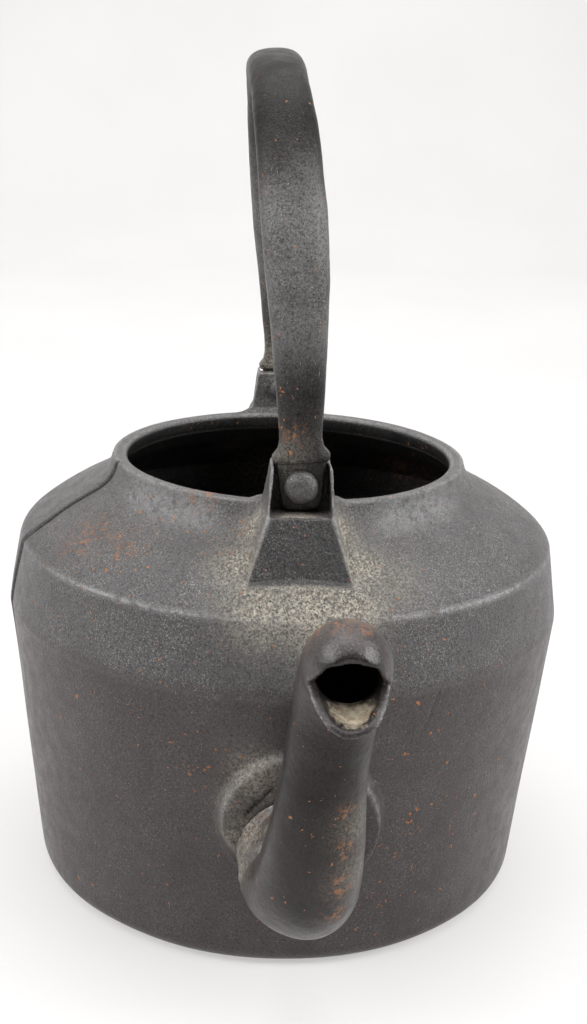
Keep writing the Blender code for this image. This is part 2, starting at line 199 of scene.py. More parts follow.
def rough_up(ob, lumps):
    """Push points along their normals by layers of noise: (size of lumps, height)."""
    co, no = points_of(ob.data), normals_of(ob.data)
    push = np.zeros(len(co))
    for size, height in lumps:
        push += height * noise_at(co, size)
    move_points(ob, co + no * push[:, None])


def cylinder_x(name, r, x0, x1, y, z, n=32):
    a = np.linspace(0, 2 * math.pi, n, endpoint=False)
    ring = [[(x, y + r * math.cos(t), z + r * math.sin(t)) for t in a] for x in (x0, x1)]
    return skin(name, ring)


def catmull(points, per):
    """Smooth curve through the points, with this many steps between each two."""
    p = np.array(points, float)
    p = np.vstack([2 * p[0] - p[1], p, 2 * p[-1] - p[-2]])
    rows = []
    for a, b, c, d in zip(p, p[1:], p[2:], p[3:]):
        for t in np.arange(per) / per:
            rows.append(0.5 * (2 * b + (c - a) * t + (2 * a - 5 * b + 4 * c - d) * t * t
                               + (3 * b - a - 3 * c + d) * t ** 3))
    return np.array(rows + [p[-2]])


def rounded(points, step):
    """Outline of (r, z, rounding) corners as evenly spaced points with eased corners."""
    p = np.array([q[:2] for q in points])
    out = [p[0]]
    for before, here, after, ease in zip(p, p[1:], p[2:], [q[2] for q in points[1:]]):
        if not ease:
            out.append(here)
            continue
        a, b = before - here, after - here
        la, lb = np.linalg.norm(a), np.linalg.norm(b)
        e = min(ease, 0.45 * la, 0.45 * lb)
        start, end = here + a / la * e, here + b / lb * e
        for t in np.linspace(0, 1, 7):
            out.append(start * (1 - t) ** 2 + here * 2 * t * (1 - t) + end * t * t)
    out.append(p[-1])
    dense = [out[0]]
    for a, b in zip(out, out[1:]):
        n = max(1, math.ceil(np.linalg.norm(b - a) / step))
        dense += [a + (b - a) * k / n for k in range(1, n + 1)]
    return np.array(dense)


def smoothstep(lo, hi, v):
    """0 at lo, 1 at hi, eased between; lo may be the greater."""
    t = np.clip((v - lo) / (hi - lo), 0, 1)
    return t * t * (3 - 2 * t)


def add_mask(me, name, values):
    """Store one value from 0 to 1 at each point, for the materials to read."""
    layer = me.attributes.new(name, "FLOAT", "POINT")
    layer.data.foreach_set("value", np.clip(values, 0, 1).astype(np.float32))


def spots(co, places):
    """Soft round zones: (x, y, z, radius, strength) in millimetres."""
    total = np.zeros(len(co))
    for x, y, z, radius, strength in places:
        d2 = ((co - np.array([x, y, z]) * MM) ** 2).sum(1)
        total = np.maximum(total, strength * np.exp(-d2 / (radius * MM) ** 2))
    return total


def edge_mask(me, rounds=2):
    """How much each point stands out from its neighbours: worn edges."""
    co, no = points_of(me), normals_of(me)
    pairs = np.empty(len(me.edges) * 2, dtype=np.int64)
    me.edges.foreach_get("vertices", pairs)
    a, b = pairs.reshape(-1, 2).T
    d = co[b] - co[a]
    length = np.maximum(np.linalg.norm(d, axis=1), 1e-9)
    bend = np.zeros(len(co))
    count = np.zeros(len(co))
    for i, sign in ((a, -1.0), (b, 1.0)):
        np.add.at(bend, i, sign * (d * no[i]).sum(1) / length ** 2)
        np.add.at(count, i, 1.0)
    count = np.maximum(count, 1)
    bend /= count
    for _ in range(rounds):
        total = bend.copy()
        np.add.at(total, a, bend[b])
        np.add.at(total, b, bend[a])
        bend = total / (count + 1)
    return bend * MM


def smooth_shade(ob, angle=40):
    for p in ob.data.polygons:
        p.use_smooth = True
    ob.data.set_sharp_from_angle(angle=math.radians(angle))


# ---- pot ----------------------------------------------------------------------------------
def wall_r(z):
    """Outer radius of the tapered wall at a height."""
    return BASE_R + (BELLY_R - BASE_R) * (z - BASE_EDGE) / (BELLY_Z - BASE_EDGE)


# The hollow shoulder, from the crease (1, 0) to the rim (0, 1), as shares of its run and rise.
SHOULDER = [(1.0, 0.0), (0.931, 0.098), (0.775, 0.247), (0.584, 0.393), (0.382, 0.522),
            (0.208, 0.637), (0.093, 0.753), (0.032, 0.871), (0.0, 0.985)]
shoulder = [(RIM_R + (BAND_R - RIM_R) * a, BAND_Z + (RIM_Z - BAND_Z) * b)
            for a, b in catmull(SHOULDER, 5)]


def shoulder_z(r):
    """Height of the shoulder's surface at a radius."""
    rs, zs = zip(*shoulder)
    return np.interp(r, rs[::-1], zs[::-1])


def pot_outline():
    """Inner surface from the floor's centre to the mouth, then the outer surface down."""
    floor = WALL + 0.5 * MM
    inner = [(0.0, floor, 0), (BASE_R - WALL, floor, 3.0 * MM)]
    inner += [(wall_r(BELLY_Z * k) - WALL, BELLY_Z * k, 2 * MM) for k in (0.33, 0.67, 0.985)]
    inner += [(BAND_R - WALL, BAND_Z - 1.5 * MM, 3 * MM)]
    inner += [(r - 0.62 * WALL, z - 0.86 * WALL, 3 * MM) for r, z in shoulder[5:31:5]]
    inner += [(MOUTH_R + 1.0 * MM, RIM_Z - 6.0 * MM, 3 * MM), (MOUTH_R, RIM_Z - 1.2 * MM, 1 * MM),
              (MOUTH_R + 1.4 * MM, RIM_Z, 1.0 * MM)]
    outer = [(RIM_R - 0.9 * MM, RIM_Z, 0.8 * MM)]
    outer += [(r, z, 0) for r, z in shoulder[:2:-1]]
    outer += [(BAND_R, BAND_Z, 1.0 * MM), (BELLY_R, BELLY_Z, 0.8 * MM),
              (BASE_R, BASE_EDGE * 0.9, 2.6 * MM), (BASE_R - BASE_EDGE, 0.0, 3.0 * MM),
              (0.0, 0.0, 0)]
    return rounded(inner + outer, 1.3 * MM)


def around():
    """Angles of the pot's columns, closer together at the boss and at the parting line."""
    step = math.radians(1.25)
    angles = [-math.pi]
    while angles[-1] < math.pi - step * 0.8:
        a = angles[-1]
        boss = math.radians(-18) < a < math.radians(29)
        part = math.radians(-83) < a < math.radians(-72)
        angles.append(a + step * (0.24 if boss or part else 1.0))
    return np.array(angles)


def beyond_seam(x, y, z):
    """Distance from the mould's parting line, which wanders a little on the shoulder."""
    r = np.hypot(x, y)
    wander = 7 * MM * np.exp(-((r - 95 * MM) / (14 * MM)) ** 2) * smoothstep(BELLY_Z, BAND_Z, z)
    return x - SEAM_X - wander - 0.4 * MM * np.sin(z / (4 * MM))


def line_groove(y, z, start, end, width):
    """1 along a straight line on the front of the wall, fading out across its width."""
    a, d = np.array(start) * MM, (np.array(end) - np.array(start)) * MM
    t = np.clip(((y - a[0]) * d[0] + (z - a[1]) * d[1]) / (d @ d), 0, 1)
    off = np.hypot(y - a[0] - t * d[0], z - a[1] - t * d[1])
    return np.exp(-(off / (width * MM)) ** 2)


def boss_relief(z, x, y):
    """How far the wall's surface is pushed out to make the round pad behind the spout."""
    d = np.hypot(y - SPOUT_Y, z - BOSS_Z)
    wobble = 0.35 * MM * np.sin(3 * np.arctan2(z - BOSS_Z, y - SPOUT_Y) + 0.7)
    lower_left = smoothstep(-4 * MM, -24 * MM, y) * smoothstep(62 * MM, 40 * MM, z)
    edge = 1.9 * MM + 9.0 * MM * lower_left
    pad = 1 - smoothstep(BOSS_R - edge + wobble, BOSS_R + 0.8 * MM + wobble, d)
    rise = np.maximum(BOSS_X - x, 0)
    return pad * rise * (x > 0)


# Cracks in the front of the pot: (y, z) of each end, half width and depth, in millimetres.
CRACKS = [((-7.3, 75.0), (-16.1, 65.5), 0.55, 0.9), ((47.9, 106.5), (44.8, 97.5), 0.4, 0.3),
          ((44.8, 97.5), (40.5, 86.8), 0.35, 0.2)]


def seam_push(x, y, z):
    """Parting line on the left: the half behind it stands proud, with a crack along the step."""
    side = beyond_seam(x, y, z)
    zone = (y < 0) & (z > 60 * MM) & (np.hypot(x, y) > RIM_R - 1 * MM)
    fade = smoothstep(70 * MM, 118 * MM, z)
    proud = smoothstep(0.3 * MM, -0.5 * MM, side) * smoothstep(-22 * MM, -3 * MM, side)
    crack = np.exp(-((side - 0.6 * MM) / SEAM_WIDTH) ** 2)
    return zone * fade * (SEAM_STEP * proud - SEAM_DEPTH * crack)


def foot_push(x, y, z):
    """The lugs' feet run out onto the shoulder."""
    total = np.zeros_like(x)
    spread = LUG_HALF + 2 * MM + 6.5 * MM * np.clip((LEDGE_Z - z) / (24 * MM), 0, 1)
    for end in (1, -1):
        ahead = np.maximum(end * x - LUG_FOOT_X, 0)
        beside = np.maximum(abs(y) - spread, 0)
        on = (end * x > RIM_R - 6 * MM) & (z > BAND_Z - 1 * MM)
        total += on * 1.9 * MM * np.exp(-(np.hypot(ahead, beside) / (3.4 * MM)) ** 2)
    return total


def pot_grid(turn):
    """Points of the pot's surface: a row for each outline point, a column for each angle."""
    outline = pot_outline()
    t = np.gradient(outline, axis=0)
    t /= np.linalg.norm(t, axis=1)[:, None]
    r, z = outline[:, 0][:, None], outline[:, 1][:, None]
    rim_row = int(np.argmax(outline[:, 1]))
    outer = (np.arange(len(outline)) > rim_row)[:, None]
    x, y = r * np.cos(turn), r * np.sin(turn)
    z = z + 0 * x
    push = outer * (seam_push(x, y, z) + foot_push(x, y, z))
    out_r, out_z = -t[:, 1][:, None], t[:, 0][:, None]
    x = x + out_r * push * np.cos(turn)
    y = y + out_r * push * np.sin(turn)
    z = z + out_z * push
    x = x + outer * boss_relief(z, x, y)
    for start, end, width, depth in CRACKS:
        x = x - outer * (x > 0) * depth * MM * line_groove(y, z, start, end, width)
    return np.stack([x, y, z], -1)


def make_pot():
    turn = around()
    verts = pot_grid(turn)
    n = len(turn)
    rows = len(verts) - 2
    index = 2 + np.arange(rows * n).reshape(rows, n)
    a, b = index[:-1], index[1:]
    quads = np.stack([a, np.roll(a, -1, 1), np.roll(b, -1, 1), b], -1).reshape(-1, 4).tolist()
    ends = []
    for k in range(n):
        ends.append([0, int(index[0][(k + 1) % n]), int(index[0][k])])
        ends.append([1, int(index[-1][k]), int(index[-1][(k + 1) % n])])
    points = [verts[0, 0], verts[-1, 0]] + verts[1:-1].reshape(-1, 3).tolist()
    pot = new_object("pot", points, quads + ends)
    outward(pot)
    rough_up(pot, [(38 * MM, 0.35 * MM), (11 * MM, 0.02 * MM), (2.6 * MM, 0.015 * MM)])
    for end, tag in ((1, "front"), (-1, "rear")):
        boolean(pot, make_lug(end, tag), "UNION")
    boolean(pot, cylinder_x("socket", ROOT_R + 0.4 * MM, BASE_R - 12 * MM, BOSS_X + 8 * MM,
                            SPOUT_Y, SPOUT_Z, 96), "DIFFERENCE")
    smooth_shade(pot, 50)
    return pot


def make_lug(end, tag):
    """Tapered block with an open pocket for the handle's tongue, its edges worn round."""
    def ring(xb, zb, hb, xf, zf, hf):
        return [(end * xb, -hb, zb), (end * xf, -hf, zf), (end * xf, hf, zf), (end * xb, hb, zb)]
    foot_z = shoulder_z(LUG_FOOT_X) - WALL * 0.5
    back_z = shoulder_z(math.hypot(LUG_BACK_X, LUG_FOOT_HALF)) - WALL * 0.65
    lug = skin("lug_" + tag, [
        ring(LUG_BACK_X, back_z, LUG_FOOT_HALF + 0.6 * MM, LUG_FOOT_X, foot_z, LUG_FOOT_HALF),
        ring(LUG_BACK_X, LEDGE_Z, LUG_HALF + 2.4 * MM, LUG_LEDGE_X, LEDGE_Z, LUG_HALF + 1.1 * MM),
        ring(LUG_BACK_X, LUG_TOP_Z, LUG_HALF, LUG_FRONT_X, LUG_TOP_Z, LUG_HALF)])
    far = LUG_FOOT_X + 7 * MM
    boolean(lug, skin("pocket", [
        [(end * POCKET_X, -h, z), (end * far, -h - 1.2 * MM, z),
         (end * far, h + 1.2 * MM, z), (end * POCKET_X, h, z)]
        for z, h in ((POCKET_Z, POCKET_HALF + 1.0 * MM),
                     (LUG_TOP_Z + 4 * MM, POCKET_HALF - 0.2 * MM))]), "DIFFERENCE")
    boolean(lug, cylinder_x("eye", HOLE_R, end * (LUG_BACK_X - 6 * MM), end * (POCKET_X + 8 * MM),
                            0, PIVOT_Z), "DIFFERENCE")
    worn(lug, 0.42 * MM, 3)
    rough_up(lug, [(9 * MM, 0.30 * MM), (2.2 * MM, 0.16 * MM)])
    return lug


# ---- spout --------------------------------------------------------------------------------
# Stations along the spout: shares of its reach, crook and rise, and how far it has swelled
# from its neck size (0) to its root size (1).
SPOUT_LINE = [(0.027, 0.01, -0.011, 1.8), (0.068, 0.05, -0.037, 1.42), (0.127, 0.15, -0.062, 1.13),
              (0.200, 0.25, -0.048, 1.03), (0.271, 0.34, 0.022, 0.97), (0.322, 0.41, 0.132, 0.81),
              (0.363, 0.47, 0.264, 0.53), (0.398, 0.53, 0.407, 0.22), (0.438, 0.62, 0.560, 0.0),
              (0.487, 0.73, 0.709, -0.03), (0.547, 0.85, 0.846, 0.0), (0.628, 0.96, 0.956, 0.03),
              (0.731, 1.0, 1.0, 0.03), (0.844, 1.0, 1.004, 0.0), (1.0, 1.0, 0.996, -0.1)]


def spout_rows():
    """Centre line, outer radius and wall thickness at close stations."""
    inside = wall_r(SPOUT_Z - ROOT_R) - WALL - 0.8 * MM
    rows = [(x, SPOUT_Y, SPOUT_Z, ROOT_R, 4.9 * MM)
            for x in np.linspace(inside, BOSS_X + 0.4 * MM, 8)]
    rows.append((BOSS_X + 0.4 * MM, SPOUT_Y, SPOUT_Z, ROOT_R + 3.8 * MM, 8.7 * MM))
    for reach, crook, rise, swell in catmull(SPOUT_LINE, 8):
        rows.append((BOSS_X + SPOUT_REACH * reach, SPOUT_Y + SPOUT_CROOK * crook,
                     SPOUT_Z + SPOUT_RISE * rise, NECK_R + (ROOT_R - NECK_R) * swell,
                     3.3 * MM + 1.6 * MM * min(swell, 1.2)))
    return np.array(rows)


def oval(p, t, side, up, down, n=84):
    """Ring round p, square to t, with its own reach to the sides, upwards and downwards."""
    u = (Vector((0, 1, 0)) - t * t.y).normalized()
    v = t.cross(u)
    ring = []
    for k in range(n):
        a = 2 * math.pi * k / n
        tall = up if math.sin(a) > 0 else down
        ring.append(p + u * math.cos(a) * side + v * math.sin(a) * tall)
    return ring


def spout_tube():
    """The hollow tube, its root's left side swelled where it flows down from the pad."""
    rows = spout_rows()
    tangents = np.gradient(rows[:, :3], axis=0)
    root_rows = 9
    out, bore = [], []
    for i, (row, t) in enumerate(zip(rows, tangents)):
        p = Vector(row[:3])
        t = Vector((1, 0, 0)) if i <= root_rows else Vector(t).normalized()
        r, wall = row[3], row[4]
        beak = min(max((row[0] - BOSS_X) / SPOUT_REACH - 0.58, 0.0) / 0.22, 1.0)
        side = r * (1 - 0.06 * beak)
        ring = oval(p, t, side, r, r + 1.2 * MM * beak)
        swell = 4.2 * MM * math.exp(-((row[0] - BOSS_X - 13 * MM) / (10 * MM)) ** 2)
        for q in ring:
            q.y -= swell * max(0.0, (p.y - q.y) / r) ** 2
        out.append(ring)
        bore.append(oval(p, t, side - wall + 0.9 * MM * beak,
                         r - wall - 1.0 * MM * beak, r - wall + 2.7 * MM * beak))
    return skin("spout_tube", np.array(out + bore[::-1]), closed=True)


def cut_mouth(spout):
    """Cut the mouth to its side view, given in mm from the notch: hood, then pouring lip."""
    hood = [(9.6, 18.0), (9.4, 8.6), (8.2, 6.2), (7.2, 4.2), (6.2, 1.6), (5.0, -0.4), (3.2, -2.2)]
    lip = [(1.8, -3.0), (1.3, -3.6), (2.2, -4.4), (7.6, -7.6), (13.2, -11.4), (15.2, -14.2),
           (15.0, -16.6)]
    outline = [(NOTCH_X + x * MM, BEAK_Z + z * MM) for x, z in hood + lip]
    ahead_x = BOSS_X + SPOUT_REACH + 14 * MM
    outline += [(ahead_x, BEAK_Z - NECK_R - 4 * MM), (ahead_x, BEAK_Z + NECK_R + 4 * MM)]
    side = NECK_R * 3
    boolean(spout, skin("beak_cut", [[(x, SPOUT_Y + y, z) for x, z in outline]
                                     for y in (-side, side)]), "DIFFERENCE")


def droop_hood(spout):
    """Close the upper half of the beak down to a round hood, like an eyelid."""
    co = points_of(spout.data)
    hood_length = 15.6 * MM
    ahead = np.clip((co[:, 0] - NOTCH_X + 3.5 * MM) / hood_length, 0, 0.96)
    share = smoothstep(BEAK_Z - 4.0 * MM, BEAK_Z + 0.5 * MM, co[:, 2])
    shrink = np.sqrt(1 - ahead ** 2) ** share
    co[:, 1] = BEAK_Y + (co[:, 1] - BEAK_Y) * shrink
    co[:, 2] = BEAK_Z + (co[:, 2] - BEAK_Z) * shrink
    move_points(spout, co)


def lump_root(spout):
    """Fibrous lumps left by the casting at the spout's root, most of all on its left."""
    co, no = points_of(spout.data), normals_of(spout.data)
    ahead = co[:, 0] - BOSS_X
    left = smoothstep(4 * MM, -8 * MM, co[:, 1] - SPOUT_Y)
    outer = np.hypot(co[:, 1] - SPOUT_Y, co[:, 2] - SPOUT_Z) > 14.5 * MM
    free = ahead > 0.3 * MM
    lump = np.array([noise.fractal(Vector(p), 0.8, 2.1, 4) for p in (co / (5 * MM)).tolist()])
    root = free * np.exp(-((ahead - 3 * MM) / (7 * MM)) ** 2)
    web = free * outer * left * np.exp(-((ahead - 7.5 * MM) / (7 * MM)) ** 2)
    push = root * (0.3 + 0.7 * left) * lump * 0.25 * MM + 0.5 * MM * web * (1 + 0.9 * lump)
    move_points(spout, co + no * push[:, None])


def make_spout():
    spout = spout_tube()
    cut_mouth(spout)
    droop_hood(spout)
    worn(spout, 0.5 * MM, 12)
    lump_root(spout)
    rough_up(spout, [(24 * MM, 0.35 * MM), (7 * MM, 0.12 * MM), (2.2 * MM, 0.06 * MM)])
    smooth_shade(spout, 60)
    return spout


# ---- handle -------------------------------------------------------------------------------
def handle_rows():
    """Rows of x, height above the pivot, half width, half thickness, squareness; one half."""
    thin = TONGUE_T / 2
    neck_x = TONGUE_X - 0.9 * MM
    tongue = [(TONGUE_X, -TONGUE_DROP, TONGUE_HALF * 0.50, thin * 0.86, 5),
              (TONGUE_X, -TONGUE_DROP + 0.4 * MM, TONGUE_HALF * 0.66, thin * 0.97, 6),
              (TONGUE_X, -TONGUE_DROP + 1.4 * MM, TONGUE_HALF * 0.80, thin, 7),
              (TONGUE_X, -TONGUE_DROP + 2.9 * MM, TONGUE_HALF * 0.87, thin, 7),
              (TONGUE_X, 0.5 * MM, TONGUE_HALF * 0.94, thin, 7),
              (TONGUE_X, EAR_UP, TONGUE_HALF, thin, 7),
              (neck_x, EAR_UP + 0.1 * MM, EAR_HALF - 0.6 * MM, thin + 1.4 * MM, 5),
              (neck_x, EAR_UP + 0.6 * MM, EAR_HALF - 0.1 * MM, thin + 1.8 * MM, 5),
              (neck_x, EAR_UP + 1.7 * MM, EAR_HALF, thin + 1.9 * MM, 5),
              (neck_x, EAR_UP + 2.6 * MM, EAR_HALF - 0.7 * MM, thin + 2.0 * MM, 4.6),
              (neck_x, EAR_UP + 3.9 * MM, NECK_HALF_W + 0.7 * MM, thin + 2.1 * MM, 4),
              (neck_x, EAR_UP + 7.0 * MM, NECK_HALF_W, thin + 2.3 * MM, 3.2)]
    limb_x = TONGUE_X + 0.9 * MM
    limb = [(neck_x, EAR_UP + 7.0 * MM), (neck_x, EAR_UP + 16.5 * MM),
            (limb_x - 1.2 * MM, HANDLE_SPRING - 15 * MM),
            (limb_x - 0.5 * MM, HANDLE_SPRING - 9 * MM),
            (limb_x - 0.1 * MM, HANDLE_SPRING - 4 * MM)]
    power = 2 / 2.35                # squareness of the arch, a little more than an ellipse's
    for k in range(31):
        a = math.pi / 2 * k / 30
        limb.append((limb_x * math.cos(a) ** power,
                     HANDLE_SPRING + (HANDLE_RISE - HANDLE_SPRING) * math.sin(a) ** power))
    limb = catmull(limb, 4)[1:]
    run = np.cumsum([0.0] + [math.dist(a, b) for a, b in zip(limb, limb[1:])])
    rows = list(tongue)
    grip_start = 0.16
    for (x, h), s in zip(limb, run / run[-1]):
        s = (s - grip_start) / (1 - grip_start)
        width = np.interp(s, [-0.19, -0.08, 0, 0.18, 0.34, 0.5, 0.7, 1.0],
                          [NECK_HALF_W / BAR_HALF_W, 0.735, 0.80, 0.95, 1.0, 0.97, 0.91, 0.88])
        thick = np.interp(s, [-0.19, -0.08, 0, 0.3], [0.83, 0.88, 0.92, 1.0])
        square = np.interp(s, [-0.19, 0.0], [3.2, 2.5])
        rows.append((x, h, BAR_HALF_W * width, BAR_HALF_T * thick, square))
    return rows


def bar_ring(x, h, tx, tz, half, thick, square, n=56):
    """Section of the bar, square to its run (tx, tz); the bar bows a little to one side."""
    ring = []
    share = min(max(h / HANDLE_RISE, 0.0), 1.0)
    bow = 1.6 * MM * 4 * share * (1 - share)
    for k in range(n):
        a = 2 * math.pi * (k + 0.5) / n
        d = math.copysign(abs(math.sin(a)) ** (2 / square), math.sin(a)) * thick
        w = math.copysign(abs(math.cos(a)) ** (2 / square), math.cos(a)) * half
        ring.append((x + tz * d, w + bow, h - tx * d))
    return ring


def make_handle():
    half = handle_rows()
    rows = half + [(-x, h, w, t, q) for x, h, w, t, q in reversed(half[:-1])]
    tangents = np.gradient(np.array([r[:2] for r in rows]), axis=0)
    rings = []
    for (x, h, w, t, q), (tx, tz) in zip(rows, tangents):
        if h < EAR_UP + 7.5 * MM:
            tx, tz = 0.0, math.copysign(1.0, x)
        n = math.hypot(tx, tz)
        rings.append(bar_ring(x, h, tx / n, tz / n, w, t, q))
    handle = skin("bail_bar", rings)
    for end in (1, -1):
        boolean(handle, cylinder_x("tongue_eye", HOLE_R, end * (POCKET_X - 6 * MM),
                                   end * (POCKET_X + TONGUE_T + 6 * MM), 0, 0), "DIFFERENCE")
    place = Matrix.Translation((0, 0, PIVOT_Z)) @ Matrix.Rotation(HANDLE_LEAN, 4, "X")
    handle.data.transform(place)
    rough_up(handle, [(30 * MM, 0.40 * MM), (9 * MM, 0.16 * MM), (2.4 * MM, 0.05 * MM)])
    smooth_shade(handle, 45)
    return handle


# ---- rivets -------------------------------------------------------------------------------
def make_rivet(end, tag):
    """Shank with a hammered dome outside the tongue and a flat tail inside the lug."""
    tail_x = LUG_BACK_X - 0.4 * MM
    head_x = POCKET_X + 0.8 * MM + TONGUE_T
    outline = [(0.02 * MM, tail_x - 2.4 * MM), (1.6 * MM, tail_x - 2.36 * MM),
               (3.1 * MM, tail_x - 2.1 * MM), (4.2 * MM, tail_x - 1.5 * MM),
               (4.8 * MM, tail_x - 0.8 * MM), (5.0 * MM, tail_x),
               (3.0 * MM, tail_x), (3.0 * MM, head_x), (5.2 * MM, head_x)]
    for a in range(0, 90, 9):
        outline.append((5.6 * MM * math.cos(math.radians(a)),
                        head_x + 0.3 * MM + 3.7 * MM * math.sin(math.radians(a))))
    outline.append((0.02 * MM, head_x + 4.0 * MM))
    rings = []
    for r, x in outline:
        rings.append([(end * x, r * math.cos(t), PIVOT_Z + r * math.sin(t))
                      for t in np.linspace(0, 2 * math.pi, 48, endpoint=False)])
    rivet = skin("rivet_dome_" + tag, rings)
    co, no = points_of(rivet.data), normals_of(rivet.data)
    head = end * co[:, 0] > head_x + 0.2 * MM
    push = noise_at(co, 3.4 * MM) * 0.22 * MM * head
    move_points(rivet, co + no * push[:, None])
    smooth_shade(rivet, 40)
    return rivet


# ---- materials ----------------------------------------------------------------------------
# The next two colours are painted highlights: glints and sparkle dots.
PAINTED_GLINT = (0.27, 0.26, 0.25)
PAINTED_SPARKLE = (0.45, 0.43, 0.40)
BROWN_STAIN = (0.062, 0.046, 0.036)
# rubbed iron, and on the pot also painted highlights along creases and edges
RUB_AND_HIGHLIGHT = (0.27, 0.265, 0.262)
# painted shade colour
SHADE_BLACK = (0.006, 0.0055, 0.005)
DUST = ((0.66, 0.60, 0.49), (0.24, 0.21, 0.165))
LIMESCALE = ((0.52, 0.45, 0.34), (0.27, 0.215, 0.145))
RUST = ((0.52, 0.185, 0.045), (0.20, 0.078, 0.028))
SCRATCH = (0.36, 0.35, 0.33)


class Shade:
    """Short hand for building a node material."""

    def __init__(self, name):
        self.material = bpy.data.materials.new(name)
        self.material.use_nodes = True
        self.nodes = self.material.node_tree.nodes
        self.links = self.material.node_tree.links
        self.shader = self.nodes["Principled BSDF"]
        self.where = self.nodes.new("ShaderNodeTexCoord").outputs["Object"]

    def put(self, value, socket):
        """Link a node's output to the socket, or set the socket to a colour or number."""
        if hasattr(value, "is_output"):
            self.links.new(value, socket)
        elif isinstance(value, tuple):
            socket.default_value = (*value, 1.0)
        else:
            socket.default_value = value

    def noise(self, size, detail=3.0, rough=0.55, warp=0.0, where=None):
        n = self.nodes.new("ShaderNodeTexNoise")
        self.put(where or self.where, n.inputs["Vector"])
        n.inputs["Scale"].default_value = 1.0 / size
        n.inputs["Detail"].default_value = detail
        n.inputs["Roughness"].default_value = rough
        n.inputs["Distortion"].default_value = warp
        return n.outputs["Fac"]

    def cells(self, size, spread=1.0):
        n = self.nodes.new("ShaderNodeTexVoronoi")
        self.put(self.where, n.inputs["Vector"])
        n.inputs["Scale"].default_value = 1.0 / size
        n.inputs["Randomness"].default_value = spread
        return n.outputs["Distance"]

    def stretch(self, scale):
        n = self.nodes.new("ShaderNodeMapping")
        self.put(self.where, n.inputs["Vector"])
        n.inputs["Scale"].default_value = scale
        return n.outputs["Vector"]

    def mask(self, name):
        n = self.nodes.new("ShaderNodeAttribute")
        n.attribute_name = name
        return n.outputs["Fac"]

    def along(self, axis):
        n = self.nodes.new("ShaderNodeSeparateXYZ")
        self.put(self.where, n.inputs[0])
        return n.outputs[axis]

    def span(self, value, lo, hi, to_lo=0.0, to_hi=1.0):
        """Ease the value from to_lo to to_hi as it goes from lo to hi."""
        n = self.nodes.new("ShaderNodeMapRange")
        n.interpolation_type = "SMOOTHSTEP"
        self.put(value, n.inputs["Value"])
        for key, v in (("From Min", lo), ("From Max", hi), ("To Min", to_lo), ("To Max", to_hi)):
            n.inputs[key].default_value = v
        return n.outputs["Result"]

    def math(self, op, a, b=0.0):
        n = self.nodes.new("ShaderNodeMath")
        n.operation = op
        self.put(a, n.inputs[0])
        self.put(b, n.inputs[1])
        return n.outputs[0]

    def times(self, a, b):
        return self.math("MULTIPLY", a, b)

    def less(self, a, b):
        return self.math("SUBTRACT", a, b)

    def most(self, a, b):
        return self.math("MAXIMUM", a, b)

    def mix(self, amount, a, b):
        n = self.nodes.new("ShaderNodeMix")
        n.data_type = "RGBA"
        self.put(amount, n.inputs["Factor"])
        self.put(a, n.inputs[6])
        self.put(b, n.inputs[7])
        return n.outputs[2]

    def bump(self, height, distance, strength=1.0, under=None):
        n = self.nodes.new("ShaderNodeBump")
        n.inputs["Distance"].default_value = distance
        n.inputs["Strength"].default_value = strength
        self.put(height, n.inputs["Height"])
        if under is not None:
            self.put(under, n.inputs["Normal"])
        return n.outputs["Normal"]


def bare_iron(s, low, high, grain_and_glint, split, grit_and_glint):
    """Two tones in clouds, darker pores, painted glints in patches, painted sparkle dots, brown
    stains.
    """
    base = s.mix(s.span(s.noise(30 * MM, 4, 0.6), 0.35, 0.65), low, high)
    if split is not None:
        above, z0, z1 = split
        base = s.mix(s.span(s.along("Z"), z0, z1), base, above)
    pores = s.span(s.noise(0.9 * MM, 3, 0.7), 0.44, 0.66, 0.0, 0.8)
    base = s.mix(pores, base, tuple(c * 0.30 for c in low))
    # painted glints, gathered in random patches
    glint_patches = s.times(grit_and_glint, s.span(s.noise(16 * MM, 4, 0.6), 0.35, 0.65, 0.4, 1.0))
    glint_specks = s.span(s.noise(0.55 * MM, 2, 0.6), 0.51, 0.69, 0.0, 0.75 * grain_and_glint)
    base = s.mix(s.times(glint_patches, glint_specks), base, PAINTED_GLINT)
    # painted sparkle dots
    sparkle_dots = s.span(s.noise(0.7 * MM, 1, 0.5), 0.76, 0.78, 0.0, 0.35 * grain_and_glint)
    base = s.mix(sparkle_dots, base, PAINTED_SPARKLE)
    stains = s.span(s.noise(3.2 * MM, 4, 0.7), 0.60, 0.74, 0.0, 0.30)
    return s.mix(stains, base, BROWN_STAIN)


def deposits(s, base):
    """Dust, limescale and rust over the iron; also how much of it they cover."""
    dust = s.times(s.mask("dust"), s.span(s.noise(0.8 * MM, 4, 0.75), 0.34, 0.60))
    base = s.mix(s.times(dust, 0.93), base, s.mix(s.span(s.noise(1.3 * MM, 3), 0.40, 0.70), *DUST))
    lime = s.span(s.math("ADD", s.mask("lime"), s.noise(2.2 * MM, 4, 0.65)), 0.75, 1.15)
    base = s.mix(lime, base, s.mix(s.span(s.noise(2.6 * MM, 4), 0.35, 0.65), *LIMESCALE))
    patch = s.span(s.noise(9 * MM, 3, 0.6), 0.44, 0.60)
    near = s.times(s.times(s.mask("rust"), patch), 0.095)
    specks = s.span(s.math("ADD", s.noise(1.7 * MM, 2, 0.6, 0.5), near), 0.722, 0.732)
    scabs = s.times(s.mask("scab"), s.span(s.noise(2.3 * MM, 4, 0.7), 0.50, 0.60))
    rust = s.most(specks, scabs)
    base = s.mix(rust, base, s.mix(s.noise(0.7 * MM, 2), *RUST))
    return base, s.most(s.most(rust, dust), lime)


